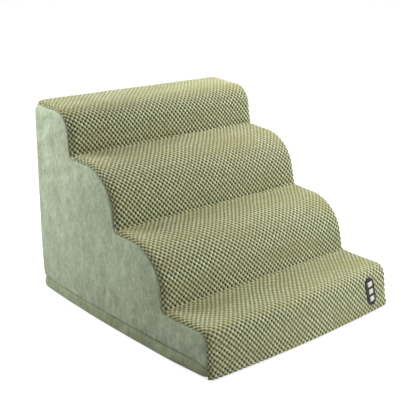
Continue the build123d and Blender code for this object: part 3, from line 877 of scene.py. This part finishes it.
def sidePlace(flat, out):
    inner, outer = wall["cornerInner"], wall["cornerOuter"]
    share = np.clip((out - inner) / (outer - inner), 0, 1)
    centre = wall["seamCorner"] + (wall["outerCorner"] - wall["seamCorner"]) * share
    x, y = roundCorner(flat[:, 0], out, centre)
    return np.stack((x, y, flat[:, 1]), 1)


def backPlace(flat, out):
    return np.stack((flat[:, 0], backY + out, flat[:, 1]), 1)


def sideOutline():
    # lip under the plush, back seam and foot seam, as places along the side and their heights
    topZ, step = wall["topZ"], wall["seamStep"]
    line, heading, _ = roundedLine(stepCorners(0), stepRadii(), step)
    lip = line + np.stack((np.sin(heading), -np.cos(heading)), 1) * wall["lipInset"]
    lip[:, 0] -= frontY
    s, z = lip.T
    hem = (z < topZ - wall["hemDrop"]) & (s > cornerS - wall["hemRun"])
    lip = lip[(z > seamHeight(s) + wall["lipGap"]) & (s < cornerS) & ~hem]
    front = lip[0, 0] - wall["frontGap"]
    corner = (front, float(seamHeight(front)))
    lip = np.concatenate(([corner], lip, divided([(cornerS + wall["backGap"], topZ), (seamS, topZ)], step)))
    back = divided([(seamS, topZ), (seamS, wall["footZ"])], step)
    footS = np.linspace(seamS, front, round((seamS - front) / step) + 1)
    return lip, back, np.stack((footS, seamHeight(footS)), 1)


def skinShape(edges, seed):
    # how far the outer skin stands out at each flat place: crown, less the roll into each seam, with
    # the rolls blended where two seams meet
    blend = 3

    def outward(flat):
        drop, nearest, pucker = 0, np.full(len(flat), np.inf), 0
        for i, (line, depth, width) in enumerate(edges):
            gap, along = distanceTo(flat, line)
            drop = drop + rollDown(gap, depth, width) ** blend
            aside, length = gap * wall["puckerStretch"], wall["puckerLength"]
            folds = ripple(along, aside, scale=length, seed=seed + i)
            creases = ripple(along, aside, scale=length * wall["creaseLength"], seed=seed + i + 7)
            varied = ripple(along, scale=wall["reachLength"], seed=seed + 20 + i)
            reach = wall["puckerReach"] * (1 + wall["reachVaries"] * varied)
            fading = np.exp(-gap / reach) * np.clip(gap / wall["puckerStart"], 0, 1)
            pucker = pucker + (folds + wall["creaseShare"] * creases) * fading
            nearest = np.minimum(nearest, gap)
        dome = wall["dome"] * (1 - np.exp(-nearest / wall["domeReach"]))
        slow = wall["wave"] * ripple(flat[:, 0], flat[:, 1], scale=wall["waveLength"], seed=seed)
        slow = slow * (1 - np.exp(-nearest / wall["waveReach"]))
        foot = wall["footDraw"] * np.exp(-np.clip(flat[:, 1] - wall["footZ"], 0, None) / wall["footReach"])
        return wall["crown"] + dome + slow - foot + wall["puckerDepth"] * pucker - drop ** (1 / blend)
    return outward


def padWall(name, node, outline, edges, outward, place):
    piece, skin, backCount, area = paddedPanel(
        name, outline, wall["insets"], wall["pointSpacing"], outward, place,
        wall["backing"], wallCloth,
    )
    nearest = np.min([distanceTo(skin, line)[0] for line, _, _ in edges], axis=0)
    loose = np.clip(wall["heldShare"] - nearest / wall["heldReach"], 0, 1)
    held = np.concatenate((loose, np.ones(backCount)))
    puffUp(piece, held, pressure=wall["pressure"], growth=wall["growth"], cap=wall["cap"])
    piece.data.vertices.foreach_set("co", settle(readPoints(piece)).astype(np.float32).ravel())
    applyModifier(piece, "finer", "SUBSURF", levels=1, render_levels=1)
    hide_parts(node)
    print(piece.name, "flat area", round(area, 4), "square metres")


def sideSuede(name, node, side, seed):
    lip, back, foot = sideOutline()
    outline = np.concatenate((lip[:-1], back[:-1], foot[:-1]))
    edges = [
        (lip, wall["seamDrop"], wall["rollWidth"]), (back, wall["seamDrop"], wall["footWidth"]),
        (foot, wall["footDrop"], wall["footWidth"]),
    ]
    plain = skinShape(edges, seed)

    def outward(flat):
        # the padding is thicker towards the top of the back corner
        s, z = flat[:, 0], flat[:, 1]
        fill = np.exp(-((s - cornerS) / wall["cornerReach"]) ** 2) * np.clip(z / wall["topZ"], 0, 1)
        away = np.minimum((seamS - s) / wall["fillFromBack"], (wall["topZ"] - z) / wall["fillFromTop"])
        return plain(flat) + wall["cornerFill"] * fill * np.sin(np.pi / 2 * np.clip(away, 0, 1))

    def place(flat, out):
        return sidePlace(flat, out) * (side, 1, 1)

    padWall(name, node, outline, edges, outward, place)


def backSuede():
    x, low, high = wall["seamX"], wall["slotZ"], wall["topZ"]
    corners = [(-x, low), (-x, high), (x, high), (x, low), (-x, low)]
    left, top, right, foot = [divided(pair, wall["seamStep"]) for pair in zip(corners, corners[1:])]
    upright, level = (wall["seamDrop"], wall["footWidth"]), (wall["seamDrop"], wall["rollWidth"])
    outline = np.concatenate((left[:-1], top[:-1], right[:-1], foot[:-1]))
    edges = [(top, *level), (left, *upright), (right, *upright), (foot, *level)]
    padWall("backSuede", "back_wall", outline, edges, skinShape(edges, 5.5), backPlace)


sideSuede("leftSuede", "left_wall", 1, 1.5)
sideSuede("rightSuede", "right_wall", -1, 31.5)
backSuede()
print("walls padded")

# base band: a strip that bulges round the foot, from front corner to front corner
band = dict(
    tuckOut=-6.6 * mm, tuckZ=25.8 * mm, tuckRise=0.5 * mm, fullness=0.75, cloth=1.3 * mm,
    top=(-2.6 * mm, 24.0 * mm), belly=(2.4 * mm, 12 * mm), foot=(-8.4 * mm, 0.9 * mm), seamGap=0.6 * mm,
    step=2.8 * mm, start=8.4 * mm, endTuck=3.6 * mm, endWidth=9 * mm, endLift=5 * mm, endLiftRun=20 * mm,
    puckerDepth=0.8 * mm, puckerLength=11 * mm, puckerHeight=5 * mm, puckerAtFoot=0.35,
    creaseShare=0.5, creaseLength=0.45, creaseHeight=4 * mm, wave=0.5 * mm, waveLength=70 * mm,
    waveHeight=10 * mm, flare=4.2 * mm, flareAt=100 * mm, flareReach=65 * mm,
    upperPoints=9, lowerPoints=11, leastBulge=0.02,
)


def bandSection():
    # how far out and how high, from the tuck behind the wall over the belly to the foot
    top, belly, foot = band["top"], band["belly"], band["foot"]

    def arc(end, count):
        turn = np.linspace(0, math.pi / 2, count)
        wide, tall = np.abs(np.cos(turn)) ** band["fullness"], np.sin(turn) ** band["fullness"]
        out, height = end[0] + (belly[0] - end[0]) * wide, belly[1] + (end[1] - belly[1]) * tall
        return list(zip(out, height))

    upper, lower = arc(top, band["upperPoints"])[::-1], arc(foot, band["lowerPoints"])
    tuck = (band["tuckOut"], band["tuckZ"])
    middle = ((tuck[0] + top[0]) / 2, (tuck[1] + top[1]) / 2 + band["tuckRise"])
    return np.array([tuck, middle] + upper + lower[1:])


def bandPush(path, s, share):
    # how far the band stands out past its section: puckers under the seam, slow waves and the flare
    path, bulge = path[:, None], np.sin(np.pi * np.clip(share, band["leastBulge"], 1))
    length = band["puckerLength"]
    folds = ripple(path, share * band["puckerHeight"], scale=length, seed=2.5)
    creases = ripple(path, share * band["creaseHeight"], scale=length * band["creaseLength"], seed=8.5)
    slow = ripple(path, share * band["waveHeight"], scale=band["waveLength"], seed=4.5)
    atFoot = band["puckerAtFoot"]
    puckered = (folds + band["creaseShare"] * creases) * (atFoot + (1 - atFoot) * share)
    flare = band["flare"] * np.exp(-((s - band["flareAt"]) / band["flareReach"]) ** 2)[:, None]
    return (band["puckerDepth"] * puckered + band["wave"] * slow + flare) * bulge


def baseBand():
    section = bandSection()
    ways = np.gradient(section, axis=0)
    ways /= np.linalg.norm(ways, axis=1)[:, None]
    inner = (section + np.stack((ways[:, 1], -ways[:, 0]), 1) * band["cloth"])[::-2]
    ring = np.concatenate((section, inner))
    low, high = band["foot"][1], band["top"][1]
    ring[:, 1] = np.maximum(ring[:, 1], low)
    half = seamS + wall["seamX"]
    path = np.linspace(band["start"], 2 * half - band["start"], round(2 * half / band["step"]))
    s = np.minimum(path, 2 * half - path)
    lifted = band["endLift"] * np.clip(1 - (s - band["start"]) / band["endLiftRun"], 0, 1) ** 2
    stretch = (seamHeight(s) - band["seamGap"] - low - lifted) / (high - low)
    outer = np.arange(len(ring)) < len(section)
    share = np.clip((ring[:, 1] - low) / (high - low), 0, 1)
    out = ring[:, 0] + np.where(outer, bandPush(path, s, share), 0)
    out = out - rollDown(s - band["start"], band["endTuck"], band["endWidth"])[:, None]
    z = low + lifted[:, None] + (ring[:, 1] - low) * stretch[:, None]
    x, y = roundCorner(np.minimum(s, seamS)[:, None], out, wall["seamCorner"])
    x = (x + np.clip(s - seamS, 0, None)[:, None]) * np.where(path < half, 1, -1)[:, None]
    piece = tubePiece("baseBand", settle(np.stack((x, y, z), -1)), bandCloth)
    width = wayAlong(ring)
    giveUv(piece, np.stack(np.broadcast_arrays(path[:, None], width), -1).reshape(-1, 2))
    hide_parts("base_band")


baseBand()
print("band sewn on")

# base cloth with moulded dots
grip = dict(
    inset=10.6 * mm, frontInset=4.5 * mm, low=0.85 * mm, cloth=1.4 * mm, cornerRadius=6 * mm,
    outlineStep=8 * mm, insets=(1.2 * mm, 4 * mm), pointSpacing=12 * mm, edgeThin=0.3 * mm, edgeReach=1 * mm,
    slack=0.35 * mm, slackLength=16 * mm, slackReach=14 * mm, slackFrom=2 * mm, slackStretch=0.2,
    dotRadius=2.6 * mm, dotPitch=15.5 * mm, dotRise=0.85 * mm, dotEdge=0.55 * mm, dotMargin=10 * mm,
    cornerPoints=5,
)


def baseCloth():
    x, y0, y1 = halfWidth - grip["inset"], frontY + grip["frontInset"], backY - grip["inset"]
    r, turn = grip["cornerRadius"], np.linspace(0, math.pi / 2, grip["cornerPoints"])
    rightCorner = [(x - r + r * math.cos(a), y1 - r + r * math.sin(a)) for a in turn]
    leftCorner = [(-px, py) for px, py in rightCorner[::-1]]
    corners = [(x, y0)] + rightCorner + leftCorner + [(-x, y0), (x, y0)]
    outline = divided(corners, grip["outlineStep"])[:-1]
    edge = closedLine(outline)

    def outward(flat):
        # a little thinner at its edge, and slack beside it
        gap, along = distanceTo(flat, edge)
        sag = ripple(along, gap * grip["slackStretch"], scale=grip["slackLength"], seed=9.5)
        sag = sag * np.exp(-gap / grip["slackReach"]) * np.clip(gap / grip["slackFrom"], 0, 1)
        thin = grip["edgeThin"] * np.exp(-gap / grip["edgeReach"])
        return grip["cloth"] / 2 + grip["slack"] * sag - thin

    def place(flat, out):
        middle = grip["low"] + grip["cloth"] / 2
        return settle(np.stack((flat[:, 0], flat[:, 1], middle - out), 1))

    piece, _, _, area = paddedPanel(
        "baseCloth", outline, grip["insets"], grip["pointSpacing"], outward, place,
        -grip["cloth"] / 2, gripWeave,
    )
    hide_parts("base_panel")


def modelDot():
    # a low button of rubber, its lower rim rounded
    radius, rise = grip["dotRadius"], grip["dotRise"]
    bpy.ops.mesh.primitive_cylinder_add(vertices=10, radius=radius, depth=2 * rise, location=(0, 0, 0))
    dot = bpy.context.object
    for face in dot.data.polygons:
        face.select = face.normal.z > 0.9
    bpy.ops.object.mode_set(mode="EDIT")
    bpy.ops.mesh.select_mode(type="FACE")
    bpy.ops.mesh.bevel(offset=grip["dotEdge"], segments=2)
    bpy.ops.object.mode_set(mode="OBJECT")
    return dot


def gripDots():
    # the dot is copied over the base cloth in rows
    pitch = grip["dotPitch"]
    reachX = halfWidth - grip["inset"] - grip["dotMargin"]
    lowY, highY = frontY + grip["frontInset"] + grip["dotMargin"], backY - grip["inset"] - grip["dotMargin"]
    rows = np.arange(-math.floor(-lowY / pitch), math.floor(highY / pitch) + 1)
    columns = np.arange(-math.floor(reachX / pitch), math.floor(reachX / pitch) + 1)
    places = settle(np.array([(c * pitch, r * pitch, grip["low"]) for r in rows for c in columns]))
    piece = copyAlong("gripDots", modelDot(), places, (1, 0, 0), (0, 0, -1), gripRubber)
    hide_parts("base_panel")


baseCloth()
gripDots()
print("base cloth and dots laid")

# zip: woven tapes with their sewing, on the CAD's teeth, stops, slider and pull
zipRow = dict(
    cloth=0.5 * mm, step=2.6 * mm, rows=10, wave=0.12 * mm, waveLength=12 * mm, closeGap=1.5 * mm,
    closeRun=9 * mm, stitch=2.6 * mm, stitchGap=0.9 * mm, thread=0.32 * mm, seamOut=3.6 * mm, seamEnd=4 * mm,
)


def zipMiddle():
    # height of the line where the two rows of teeth meet
    return (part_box("zip_teeth_upper")[1].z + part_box("zip_teeth_lower")[0].z) / 2


def zipTape(name, node, seed):
    # past the stops each tape widens, so that the two close on each other
    low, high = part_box(node)
    x = np.linspace(low.x, high.x, round((high.x - low.x) / zipRow["step"]) + 1)[:, None]
    z = np.linspace(low.z, high.z, zipRow["rows"])
    wave = zipRow["wave"] * ripple(x, z, scale=zipRow["waveLength"], seed=seed)
    inner, outer = (low.z, high.z) if low.z > zipMiddle() else (high.z, low.z)
    stops = [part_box(stop) for stop in ("zip_bottom_stop", "zip_top_stops")]
    past = np.maximum(min(b[0].x for b in stops) - x, x - max(b[1].x for b in stops))
    closing = np.sin(np.pi / 2 * np.clip((past - zipRow["closeGap"]) / zipRow["closeRun"], 0, 1)) ** 2
    z = z + (zipMiddle() - inner) * closing * (z - outer) / (inner - outer)
    x = np.broadcast_to(x, z.shape)
    middle, half = (low.y + high.y) / 2 + wave, zipRow["cloth"] / 2
    front, behind = np.stack((x, middle + half, z), -1), np.stack((x, middle - half, z), -1)[:, ::-1]
    rings = np.concatenate((front, behind), 1)
    piece = tubePiece(name, rings, tapeWeave)
    giveUv(piece, rings.reshape(-1, 3)[:, (0, 2)])
    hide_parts(node)


def zipStitches():
    # two rows that hold the tapes, each a little way from the teeth
    low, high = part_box("zip_tape_upper")
    length, thread = zipRow["stitch"], zipRow["thread"]
    xs = np.arange(low.x + zipRow["seamEnd"], high.x - zipRow["seamEnd"], length + zipRow["stitchGap"])
    for name, out in (("upperStitches", zipRow["seamOut"]), ("lowerStitches", -zipRow["seamOut"])):
        places = np.stack((xs, np.full(len(xs), high.y), np.full(len(xs), zipMiddle() + out)), 1)
        copyAlong(name, modelStitch(length, thread), places, (1, 0, 0), (0, 1, 0), sewingThread)


zipTape("upperTape", "zip_tape_upper", 11.5)
zipTape("lowerTape", "zip_tape_lower", 13.5)
zipStitches()
for name, finish in (
    ("zip_teeth_upper", toothPlastic), ("zip_teeth_lower", toothPlastic), ("zip_top_stops", satinZinc),
    ("zip_bottom_stop", satinZinc), ("zip_slider", satinZinc), ("zip_pull", satinZinc),
):
    nodes[name].data.materials.clear()
    nodes[name].data.materials.append(finish)
print("zip dressed")

# how the front riser leans back, and the way that it faces
riserLean = steps["endLean"] / (steps["firstRise"] - stairsLow.z)
riserOut = np.array((0, -1, riserLean)) / math.hypot(1, riserLean)


def riserPlace(flat, out):
    # places on the riser from the patch's own length and width, at a distance out
    x, z = (patchCentre + flat[:, :1] * patchWay + flat[:, 1:] * patchAcross).T
    return settle(np.stack((x, frontY + riserLean * (z - stairsLow.z) - out, z), 1))


def slotLine(inset, spacing):
    # the patch's outline, drawn in by an inset
    radius, straight = patch["width"] / 2 - inset, (patch["length"] - patch["width"]) / 2
    count = max(patch["endPoints"], round(math.pi * radius / spacing))
    turn = np.linspace(-math.pi / 2, math.pi / 2, count)
    right = np.stack((straight + radius * np.cos(turn), radius * np.sin(turn)), 1)
    return divided(np.concatenate((right, -right, right[:1])), spacing)[:-1]


def riserPatch():
    outline = slotLine(0, patch["outlineStep"])
    edge = closedLine(outline)

    def outward(flat):
        # a raised rim round a field that swells a little
        gap = distanceTo(flat, edge)[0]
        inside = gap - patch["rim"]
        sunk = np.clip((inside + patch["rimInner"]) / patch["rimSlope"], 0, 1)
        rim = patch["high"] - rollDown(gap, patch["high"] - patch["low"] - patch["edgeCloth"], patch["edge"])
        pillow = patch["pillow"] * (1 - np.exp(-np.clip(inside, 0, None) / patch["pillowReach"]))
        return rim + (patch["field"] - patch["high"] + pillow) * sunk * sunk * (3 - 2 * sunk)

    piece, _, _, area = paddedPanel(
        "riserPatch", outline, patch["insets"], patch["pointSpacing"], outward, riserPlace,
        patch["low"] - patch["cloth"], patchWeave,
    )
    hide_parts("riser_patch")


def patchStitches():
    # one row of stitches along the middle of the rim
    seam = closedLine(slotLine(patch["rim"] / 2, patch["seamStep"]))
    along = wayAlong(seam)
    count = round(along[-1] / (patch["stitch"] + patch["stitchGap"]))
    wanted = np.arange(count) * along[-1] / count

    def onSeam(way):
        flat = np.stack([np.interp(way % along[-1], along, seam[:, i]) for i in (0, 1)], 1)
        return riserPlace(flat, patch["high"])

    places = onSeam(wanted)
    ways = onSeam(wanted + patch["ahead"]) - places
    ways /= np.linalg.norm(ways, axis=1)[:, None]
    stitch = modelStitch(patch["stitch"], patch["thread"])
    copyAlong("patchStitches", stitch, places, ways, riserOut, patchThread)


def patchBars():
    # plain satin-stitched bars across the patch, each a row of long threads side by side
    pitch, count = 2 * patch["satin"], round(patch["barLength"] / (2 * patch["satin"]))
    threads = (np.arange(count) - (count - 1) / 2) * pitch
    bars = (np.arange(patch["bars"]) - (patch["bars"] - 1) / 2) * patch["barPitch"]
    runs = (bars[:, None] + threads).ravel()
    places = riserPlace(np.stack((runs, 0 * runs), 1), patch["field"] + patch["barRise"])
    along = np.array((patchAcross[0], 0, patchAcross[1]))
    way = along - riserOut * (riserOut @ along)
    thread = modelStitch(patch["barWidth"], patch["satin"])
    copyAlong("patchBars", thread, places, way / np.linalg.norm(way), riserOut, paleThread)


riserPatch()
patchStitches()
patchBars()
print("patch sewn on")

# the block inside: cut foam with edges that have softened
foam = dict(grain=7 * mm, softness=0.5, passes=3, drawnIn=1.5 * mm)


def foamBlock():
    piece = nodes["foam_core"].copy()
    piece.data = nodes["foam_core"].data.copy()
    piece.name = piece.data.name = "foamBlock"
    bpy.context.scene.collection.objects.link(piece)
    piece.data.materials.clear()
    piece.data.materials.append(openFoam)
    applyModifier(piece, "even", "REMESH", mode="VOXEL", voxel_size=foam["grain"])
    applyModifier(piece, "soft", "SMOOTH", factor=foam["softness"], iterations=foam["passes"])
    applyModifier(piece, "drawnIn", "DISPLACE", strength=-foam["drawnIn"], mid_level=0)
    piece.data.shade_smooth()
    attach(piece, "stairs")
    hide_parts("foam_core")


foamBlock()
print("foam put in")

# camera at the photograph's place, floor and light
view = dict(
    place=(-1.0941, -1.1898, 0.7219), yaw=41.6773, pitch=-17.6691, roll=0.8323, lens=76.027, sensor=36,
)


def placeCamera():
    camera = bpy.data.objects.new("camera", bpy.data.cameras.new("camera"))
    camera.data.lens, camera.data.sensor_width = view["lens"], view["sensor"]
    turn = Matrix.Rotation(-math.radians(view["yaw"]), 4, "Z")
    tipAndHighlight = Matrix.Rotation(math.radians(90 + view["pitch"]), 4, "X")
    roll = Matrix.Rotation(math.radians(view["roll"]), 4, "Z")
    camera.matrix_world = Matrix.Translation(view["place"]) @ turn @ tipAndHighlight @ roll
    bpy.context.scene.collection.objects.link(camera)
    bpy.context.scene.camera = camera


# each lamp: name, place, what it points at, size, power and colour
studio = dict(
    sky=0.12, floor=(0.55, 0.55, 0.55, 1), floorSize=6, floorGlow=0.8, nearFloor=0.7, farFloor=1.5,
    lamps=(
        ("backLight", (0, 1.2, 1.6), (0, 0, 0.2), 0.7, 6.5, (1, 1, 1)),
        ("rightLight", (0.9, -0.1, 1.2), (0, 0, 0.2), 0.6, 21, (1, 1, 0.98)),
        ("frontLight", (0.12, -0.95, 0.12), (0.05, -0.1, 0.15), 0.5, 4.0, (1, 0.99, 0.94)),
        ("sideLight", (-0.75, 0.75, 0.8), (-0.2, 0.2, 0.35), 0.5, 10.3, (0.96, 1, 1)),
    ),
)


def seenBy(tree, *rays):
    # 1 for these kinds of ray and 0 for the rest
    paths = addNode(tree, "ShaderNodeLightPath").outputs
    seen = paths[rays[0]]
    for ray in rays[1:]:
        seen = calculate(tree, "MAXIMUM", seen, paths[ray])
    return seen


def layFloor():
    far = studio["floorSize"]
    corners = [(-far, -far, 0), (far, -far, 0), (far, far, 0), (-far, far, 0)]
    floor = newPiece("floor", corners, [(0, 1, 2, 3)])
    material, tree, surface, spot = newMaterial("paleFloor")
    seen = seenBy(tree, "Is Camera Ray", "Is Glossy Ray", "Is Transmission Ray")
    away = addNode(tree, "ShaderNodeVectorMath", operation="LENGTH")
    join(tree, spot, away.inputs[0])
    near, farther = studio["nearFloor"], studio["farFloor"]
    glow = rangeOf(tree, away.outputs["Value"], near, farther, studio["floorGlow"], 1.0)
    setSurface(
        tree, surface, Base_Color=studio["floor"], Roughness=0.9, Specular_IOR_Level=0.1,
        Emission_Color=(1, 1, 1, 1), Emission_Strength=calculate(tree, "MULTIPLY", seen, glow),
    )
    floor.data.materials.append(material)


def addLight(name, place, target, size, power, colour):
    lamp = bpy.data.lights.new(name, "AREA")
    lamp.shape, lamp.color = "DISK", colour
    lamp.size, lamp.energy = size, power
    light = bpy.data.objects.new(name, lamp)
    light.location = place
    light.rotation_mode = "QUATERNION"
    light.rotation_quaternion = (Vector(target) - Vector(place)).to_track_quat("-Z", "Y")
    bpy.context.scene.collection.objects.link(light)


def lightScene():
    world = bpy.data.worlds.new("studio")
    bpy.context.scene.world = world
    world.use_nodes = True
    tree = world.node_tree
    seen = seenBy(tree, "Is Camera Ray", "Is Glossy Ray")
    ground = tree.nodes["Background"]
    ground.inputs[0].default_value = (1, 1, 1, 1)
    join(tree, calculate(tree, "MULTIPLY_ADD", seen, 1 - studio["sky"], studio["sky"]), ground.inputs[1])
    for lamp in studio["lamps"]:
        addLight(*lamp)


placeCamera()
layFloor()
lightScene()
bpy.context.scene.view_settings.view_transform = "Standard"
print("camera, floor and light placed")
